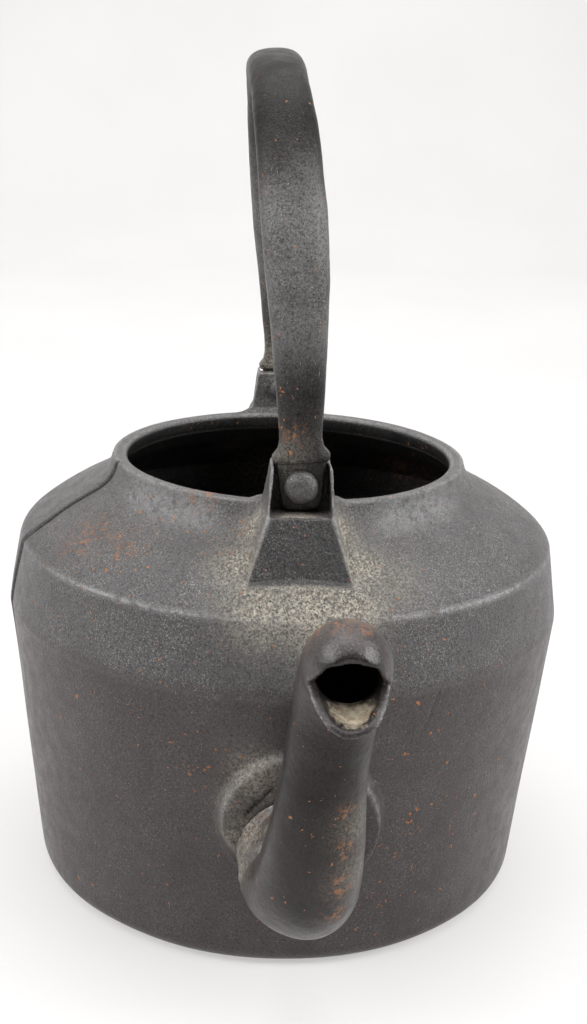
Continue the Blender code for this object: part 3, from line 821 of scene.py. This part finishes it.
def cast_iron(name, low, high, rough, grain_and_glint, metal=0.12, scratches=0.0, split=None, lumps=0.35):
    """Old cast iron: bare metal with painted glints, rubbed edges with painted highlights, painted
    shade, deposits and, on the handle, scratches.
    """
    s = Shade(name)
    # the grain is finer, and the painted glints fewer, below the pot's widest ring
    grit_and_glint = s.span(s.along("Z"), BELLY_Z - 1 * MM, BELLY_Z + 4 * MM, 0.4, 1.0)
    base = bare_iron(s, low, high, grain_and_glint, split, grit_and_glint)
    # rubbed edges, and on the pot painted highlights and sheen
    rub_and_highlight = s.times(s.mask("wear_and_highlight"), s.span(s.noise(2.4 * MM, 3, 0.7), 0.30, 0.60))
    base = s.mix(s.times(rub_and_highlight, 0.7), base, RUB_AND_HIGHLIGHT)
    # painted shade: near-black mixed in where shade falls
    base = s.mix(s.times(s.mask("painted_shade"), 0.9), base, SHADE_BLACK)
    base, cover = deposits(s, base)
    if scratches:
        lines = s.noise(1.0, 2, 0.5, 0.4, s.stretch((2600, 1900, 60)))
        cut = s.times(s.span(lines, 0.70, 0.74), s.span(s.noise(14 * MM, 2), 0.45, 0.6))
        base = s.mix(s.times(cut, scratches), base, SCRATCH)
    s.put(base, s.shader.inputs["Base Color"])
    polish = s.span(s.noise(6 * MM, 4, 0.65), 0.3, 0.7, rough - 0.05, rough + 0.08)
    polish = s.less(polish, s.times(rub_and_highlight, 0.26))
    polish = s.less(polish, s.times(s.mask("gloss"), 0.24))
    polish = s.math("ADD", polish, s.times(cover, 0.35))
    s.put(s.math("MINIMUM", polish, 0.97), s.shader.inputs["Roughness"])
    # painted shade counts as metal, so that its near-black tone also takes its shine away
    shine = s.times(s.less(1.0, cover), metal)
    shaded = s.less(s.less(s.mask("painted_shade"), cover), s.mask("gloss"))
    s.put(s.most(shine, shaded), s.shader.inputs["Metallic"])
    coarse = s.bump(s.noise(4.5 * MM, 4, 0.6), 0.9 * MM, lumps)
    pits = s.bump(s.span(s.cells(2.6 * MM), 0.0, 0.30), 0.35 * MM, 0.30 * grain_and_glint, coarse)
    sand = s.bump(s.times(grit_and_glint, s.noise(0.8 * MM, 3, 0.75)), 0.45 * MM, grain_and_glint, pits)
    crust = s.bump(s.times(cover, s.noise(0.5 * MM, 3, 0.7)), 0.45 * MM, 0.9, sand)
    s.put(crust, s.shader.inputs["Normal"])
    return s.material


def nowhere(co):
    return np.zeros(len(co))


def masks(ob, dust=(), rust=(), scab=(), lime=(), gloss=(), painted_shade=nowhere, wear_and_highlight=nowhere,
          clean=nowhere, wear_gain=2.0):
    """Store where the piece has wear and painted highlights, dust, rust, scabs, scale, gloss and
    painted shade.
    """
    me = ob.data
    co = points_of(me)
    shaded, bare = painted_shade(co), clean(co)
    # Worn edges lighten; on the pot they are raised further, partly as painted highlight on the
    # rim.
    edges = (edge_mask(me) - 0.10) * wear_gain * (1 - np.clip(shaded - bare, 0, 1))
    add_mask(me, "wear_and_highlight", np.maximum(edges, wear_and_highlight(co)))
    add_mask(me, "dust", spots(co, dust) * (1 - bare))
    add_mask(me, "rust", spots(co, rust))
    add_mask(me, "gloss", spots(co, gloss))
    add_mask(me, "scab", spots(co, scab))
    # scale lies inside the lip, not on its rim
    across = (co[:, 1] - BEAK_Y) / (11.8 * MM)
    below = (co[:, 2] - BEAK_Z) / (14.1 * MM)
    add_mask(me, "lime", spots(co, lime) * (np.hypot(across, below) < 1.0))
    # painted shade from the piece's own function; the front lug's bare face is darkened a little
    # too
    add_mask(me, "painted_shade", np.maximum(shaded, 0.42 * bare))


def pot_inside(co):
    """1 on the pot's inner surface, 0 outside it."""
    r, z = np.hypot(co[:, 0], co[:, 1]), co[:, 2]
    wall = wall_r(z) - WALL * 0.5
    roof_r, roof_z = zip(*([(BAND_R, BAND_Z - 2 * MM)] + shoulder))
    roof = np.interp(z, roof_z, roof_r) - WALL * 0.9
    roof = np.where(z > RIM_Z - 7 * MM, MOUTH_R + 1.6 * MM, roof)
    above = np.where(z > BAND_Z, roof, BAND_R - WALL * 0.4)
    limit = np.where(z > BELLY_Z, above, wall)
    below_rim = smoothstep(RIM_Z - 0.2 * MM, RIM_Z - 3.0 * MM, z)
    return (r < limit) * below_rim * (z > 2 * MM)


def lug_slope(z):
    """Share of the way down a lug's sloping face, and the face's distance and half width."""
    down = (LEDGE_Z - z) / (LEDGE_Z - shoulder_z(LUG_FOOT_X))
    front = LUG_LEDGE_X + (LUG_FOOT_X - LUG_LEDGE_X) * down
    half = LUG_HALF + (LUG_FOOT_HALF - LUG_HALF) * down
    return down, front, half


def lug_face(co):
    """1 on the front lug's sloping face, where no dust lies."""
    x, y, z = co.T
    down, front, half = lug_slope(z)
    near = smoothstep(1.6 * MM, 0.6 * MM, abs(x - front))
    within = smoothstep(half, half - 1.2 * MM, abs(y))
    return near * within * smoothstep(1.06, 0.90, down) * (down > 0.03)


def pot_painted_shade(co):
    """Painted shade inside the pot, a painted shadow of the parting line's step, painted shade in
    the cracks.
    """
    x, y, z = co.T
    outside = (np.hypot(x, y) > RIM_R - 1 * MM) & (z > 70 * MM) & (y < 0)
    # painted shadow along the step of the parting line
    seam = np.exp(-((beyond_seam(x, y, z) - 0.5 * MM) / SEAM_WIDTH) ** 2) * outside
    total = np.maximum(0.6 * pot_inside(co), seam * smoothstep(75 * MM, 105 * MM, z))
    # painted shade in the cracks
    for start, end, width, depth in CRACKS:
        total = np.maximum(total, depth * (x > 60 * MM) * line_groove(y, z, start, end, width))
    return total


def spout_painted_shade(co):
    """Near-black along the hood's edge, and a painted dark reflection down the front of the tube.
    """
    x, z = co[:, 0], co[:, 2]
    edge_x, edge_z = BOSS_X + SPOUT_REACH * 0.875, BEAK_Z + 5.0 * MM
    hood = np.exp(-(np.hypot(x - edge_x, z - edge_z) / (3.6 * MM)) ** 2)
    # painted dark reflection of the room on the tube's front
    front = smoothstep(128 * MM, 142 * MM, x) * smoothstep(142 * MM, 115 * MM, z)
    return np.maximum(0.9 * hood, 0.65 * front)


def handle_painted_shade(co):
    """Painted shade at the foot and at the top of the arch; the middle, where the hand holds it,
    stays lighter.
    """
    z = co[:, 2]
    foot = 0.78 * smoothstep(228 * MM, 200 * MM, z)
    return np.maximum(foot, 0.93 * smoothstep(250 * MM, 288 * MM, z))


def pot_wear_and_highlights(co):
    """Painted highlights on the creases, rim and mouth edge, painted sheen on the neck's swoop and
    the pad's upper edge; the lugs' corners rubbed bright.
    """
    x, y, z = co.T
    r = np.hypot(x, y)
    beside = abs(y)
    rings = ((BAND_R, BAND_Z, 1.1, 0.45), (BELLY_R, BELLY_Z, 1.2, 0.12),
             (RIM_R - 0.5 * MM, RIM_Z, 0.9, 0.6), (MOUTH_R + 0.8 * MM, RIM_Z, 0.9, 0.8))
    total = np.zeros(len(co))
    for ring_r, ring_z, width, strength in rings:
        d = np.hypot(r - ring_r, z - ring_z) / (width * MM)
        total = np.maximum(total, strength * np.exp(-d ** 2))
    # a thin painted highlight along the crease, on the sides only
    catch = smoothstep(24 * MM, 42 * MM, beside) * smoothstep(88 * MM, 66 * MM, beside)
    fine = np.exp(-(np.hypot(r - BAND_R, z - BAND_Z) / (0.7 * MM)) ** 2)
    # painted sheen on the neck's swoop
    swoop = np.exp(-((r - 69 * MM) / (4.5 * MM)) ** 2) * (x > 0) * (z > BAND_Z)
    side = smoothstep(22 * MM, 34 * MM, beside) * smoothstep(66 * MM, 52 * MM, beside)
    total = np.maximum(total + catch * fine, 0.6 * swoop * side)
    down, front, half = lug_slope(z)
    corner = np.hypot(beside - half - 0.6 * MM, abs(x) - front) / (0.8 * MM)
    total = np.maximum(total, 1.2 * np.exp(-corner ** 2) * (down > -0.04) * (down < 1))
    # painted highlight on the pad's upper edge, where the light catches it
    pad = np.hypot(y - SPOUT_Y, z - BOSS_Z)
    lit = smoothstep(-2 * MM, 8 * MM, z - BOSS_Z) * (x > 90 * MM)
    return np.maximum(total, 0.6 * lit * np.exp(-((pad - BOSS_R + 1.2 * MM) / (1.1 * MM)) ** 2))


# ---- the kettle ---------------------------------------------------------------------------
pot = make_pot()
spout = make_spout()
handle = make_handle()
rivets = [make_rivet(1, "front"), make_rivet(-1, "rear")]

masks(pot, dust=[(98, 4, 136, 13, 1.0), (97, 17, 137, 11, 0.95), (97, -12, 137, 12, 0.85),
                 (84, 20, 147, 9, 1.0), (84, -20, 147, 9, 0.85), (86, 30, 143, 12, 0.3),
                 (75, 15.5, 156, 7, 1.0), (75, -15.5, 156, 7, 0.9), (84, 0, 163.5, 6.5, 1.0),
                 (103, -14, 80, 9, 0.4), (103, -22, 70, 7, 0.25), (103, -19, 58, 7, 0.4),
                 (-94, 0, 139, 22, 0.8), (-84, 17, 148, 12, 0.8), (-84, -17, 148, 12, 0.8),
                 (-79, 0, 163.5, 9, 0.8), (70, 0, 175, 6, 0.4), (-70, 0, 175, 6, 0.5)],
      rust=[(60, -62, 146, 36, 1.0), (70, -20, 152, 18, 0.9), (88, 48, 55, 40, 0.9),
            (92, 30, 30, 26, 0.9), (96, -32, 80, 14, 1.0), (85, 45, 105, 30, 0.6),
            (60, 20, 160, 20, 0.35), (-60, 60, 140, 45, 0.9), (-80, -50, 60, 45, 0.7),
            (0, 95, 90, 45, 0.5), (0, -100, 60, 45, 0.5), (90, -60, 120, 40, 0.35)],
      scab=[(50, -72, 143, 9, 0.55), (62, -58, 147, 7, 0.5), (-70, 55, 140, 14, 0.6),
            (57, -33, 162, 5, 0.7)],
      gloss=[(52, -44, 163, 17, 1.0), (58, 42, 163, 17, 1.0), (70, 30, 158, 12, 0.6)],
      painted_shade=pot_painted_shade, wear_and_highlight=pot_wear_and_highlights, clean=lug_face, wear_gain=2.8)
masks(spout, dust=[(109, -19, 62, 8, 0.55), (110, -19, 50, 8, 0.55), (148, 8, 156, 9, 0.3),
                   (142, 17, 84, 9, 0.22), (139, 17, 66, 9, 0.22)],
      rust=[(137, 15, 52, 15, 0.8), (143, 16, 78, 14, 1.0), (128, 13, 36, 12, 0.8),
            (154, 6, 155, 14, 0.7), (110, -14, 60, 10, 0.6)],
      scab=[(159, 10.5, 153.5, 4.5, 1.0), (152, 0, 151, 5, 0.9), (142, 12.5, 62, 4.5, 0.8),
            (140, 12.0, 50, 4.0, 0.7), (144, 12.5, 76, 3.5, 0.7), (146, 13, 90, 3, 0.6),
            (108, -14, 66, 4, 0.6)],
      lime=[(165, 10.5, 131, 7, 1.0), (159, 10, 129, 6, 0.8)],
      gloss=[(167, 10, 148, 8, 1.0), (128, 3, 60, 26, 0.35)], painted_shade=spout_painted_shade)
masks(handle, dust=[(-76, 0, 182, 12, 0.8), (78, -4, 182, 7, 0.25)], painted_shade=handle_painted_shade,
      rust=[(78, -8, 195, 14, 1.0), (80, -12, 230, 40, 0.5), (60, -16, 285, 40, 0.35),
            (-76, -8, 200, 20, 0.8)],
      scab=[(79, -3, 189, 3.5, 0.6)])
for rivet in rivets:
    masks(rivet, wear_gain=1.0)

# The pot is brownish below its widest ring and grey above it.
GREY_ABOVE = ((0.064, 0.062, 0.0615), BELLY_Z - 1 * MM, BELLY_Z + 5 * MM)
pot_iron = cast_iron("iron_pot", (0.036, 0.027, 0.0255), (0.046, 0.037, 0.0355),
                     rough=0.38, grain_and_glint=1.0, split=GREY_ABOVE, lumps=0.06)
spout_iron = cast_iron("iron_spout", (0.026, 0.0195, 0.018), (0.044, 0.0355, 0.0335),
                       rough=0.36, grain_and_glint=0.35, lumps=0.12)
handle_iron = cast_iron("iron_handle", (0.040, 0.036, 0.034), (0.125, 0.122, 0.12),
                        rough=0.36, grain_and_glint=0.8, scratches=0.7, lumps=0.55)
rivet_iron = cast_iron("iron_rivet", (0.040, 0.038, 0.037), (0.085, 0.083, 0.081),
                       rough=0.28, grain_and_glint=0.7)
for piece, node, body, iron in ((pot, "kettle_body", "pot", pot_iron),
                                (spout, "spout", "pot", spout_iron),
                                (rivets[0], "rivet_front", "pot", rivet_iron),
                                (rivets[1], "rivet_rear", "pot", rivet_iron),
                                (handle, "handle", "bail", handle_iron)):
    piece.data.materials.clear()
    piece.data.materials.append(iron)
    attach(piece, body)
    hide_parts(node)


# ---- studio -------------------------------------------------------------------------------
def make_floor():
    """Pale sweep: a floor that curves up into a backdrop behind the kettle, and glows as painted
    light.
    """
    side = 9.0
    back = -1.6
    bend = 0.8
    line = [(9.0, 0.0)]
    for k in range(17):
        a = math.pi / 2 * k / 16
        line.append((back - bend * math.sin(a), bend - bend * math.cos(a)))
    line.append((back - bend, 3.2))
    below_feet = 0.2 * MM
    verts = [(x, y, z - below_feet) for x, z in line for y in (-side, side)]
    faces = [(2 * i, 2 * i + 1, 2 * i + 3, 2 * i + 2) for i in range(len(line) - 1)]
    floor = new_object("floor", verts, faces)
    for p in floor.data.polygons:
        p.use_smooth = True
    s = Shade("glowing_pale_sweep")
    tint = s.mix(s.span(s.noise(0.25, 3), 0.3, 0.7), (0.330, 0.325, 0.322), (0.345, 0.340, 0.337))
    s.put(tint, s.shader.inputs["Base Color"])
    # painted light: the sweep glows, more towards the front, brightening it and thinning the
    # kettle's shadow
    s.shader.inputs["Emission Color"].default_value = (1.0, 0.985, 0.98, 1)
    s.put(s.span(s.along("X"), -0.45, 0.15, 0.335, 0.47), s.shader.inputs["Emission Strength"])
    s.put(s.span(s.noise(2 * MM, 2), 0.3, 0.7, 0.75, 0.9), s.shader.inputs["Roughness"])
    s.put(s.bump(s.noise(1.2 * MM, 3), 0.05 * MM, 0.3), s.shader.inputs["Normal"])
    s.shader.inputs["Specular IOR Level"].default_value = 0.2
    floor.data.materials.append(s.material)


def softbox(name, place, aim, size, power):
    """Rectangular area light of this size and power, turned to face the aim."""
    data = bpy.data.lights.new(name, "AREA")
    data.shape = "RECTANGLE"
    data.size, data.size_y = size
    data.energy = power
    lamp = bpy.data.objects.new(name, data)
    lamp.location = place
    lamp.rotation_euler = (Vector(aim) - Vector(place)).to_track_quat("-Z", "Y").to_euler()
    bpy.context.scene.collection.objects.link(lamp)


def make_world():
    """Pale room, darker on the side where the photographer stands; seen as plain pale."""
    world = bpy.data.worlds.new("studio")
    world.use_nodes = True
    nodes, links = world.node_tree.nodes, world.node_tree.links
    plain = nodes["Background"]
    plain.inputs[0].default_value = (0.885, 0.89, 0.90, 1)
    coords = nodes.new("ShaderNodeTexCoord")
    split = nodes.new("ShaderNodeSeparateXYZ")
    links.new(coords.outputs["Generated"], split.inputs[0])
    ramp = nodes.new("ShaderNodeMapRange")
    ramp.interpolation_type = "SMOOTHSTEP"
    for key, v in (("From Min", 0.20), ("From Max", 0.85), ("To Min", 1.0), ("To Max", 0.10)):
        ramp.inputs[key].default_value = v
    links.new(split.outputs["X"], ramp.inputs["Value"])
    light = nodes.new("ShaderNodeBackground")
    light.inputs[0].default_value = (0.97, 0.98, 1.0, 1)
    links.new(ramp.outputs["Result"], light.inputs[1])
    seen = nodes.new("ShaderNodeLightPath")
    choose = nodes.new("ShaderNodeMixShader")
    links.new(seen.outputs["Is Camera Ray"], choose.inputs[0])
    links.new(light.outputs[0], choose.inputs[1])
    links.new(plain.outputs[0], choose.inputs[2])
    links.new(choose.outputs[0], nodes["World Output"].inputs[0])
    bpy.context.scene.world = world


def make_camera():
    """Close view from in front of the spout, a little above, nearly level with the handle."""
    distance, height = 528.8 * MM, 305.3 * MM
    swing, pitch, yaw, roll = (math.radians(a) for a in (3.3, 17.537, -0.29, 2.117))
    ahead = Vector((-math.cos(pitch) * math.cos(yaw), -math.cos(pitch) * math.sin(yaw),
                    -math.sin(pitch)))
    right = ahead.cross(Vector((0, 0, 1))).normalized()
    up = right.cross(ahead)
    right, up = (math.cos(roll) * right + math.sin(roll) * up,
                 -math.sin(roll) * right + math.cos(roll) * up)
    basis = Matrix((right, up, -ahead)).transposed()
    turn = Matrix.Rotation(-swing, 3, "Z")
    data = bpy.data.cameras.new("camera")
    data.lens = 50.46
    data.sensor_width = 36.0
    data.clip_start = 0.01
    camera = bpy.data.objects.new("camera", data)
    camera.matrix_world = Matrix.Translation(turn @ Vector((distance, 0, height))) \
        @ (turn @ basis).to_4x4()
    bpy.context.scene.collection.objects.link(camera)
    bpy.context.scene.camera = camera


make_floor()
KETTLE = (0, 0, 0.1)
BACKDROP = (-2.4, 0, 0.55)
softbox("box_left", (0.35, -0.95, 0.75), KETTLE, (0.5, 0.8), 9.5)
softbox("box_right", (0.35, 0.95, 0.75), KETTLE, (0.5, 0.8), 10.5)
softbox("box_top", (0.0, 0.0, 1.25), KETTLE, (1.0, 1.0), 10)
softbox("box_back", (-0.9, 0.0, 1.7), BACKDROP, (2.4, 0.6), 44)
make_world()
make_camera()
bpy.context.scene.view_settings.view_transform = "Standard"
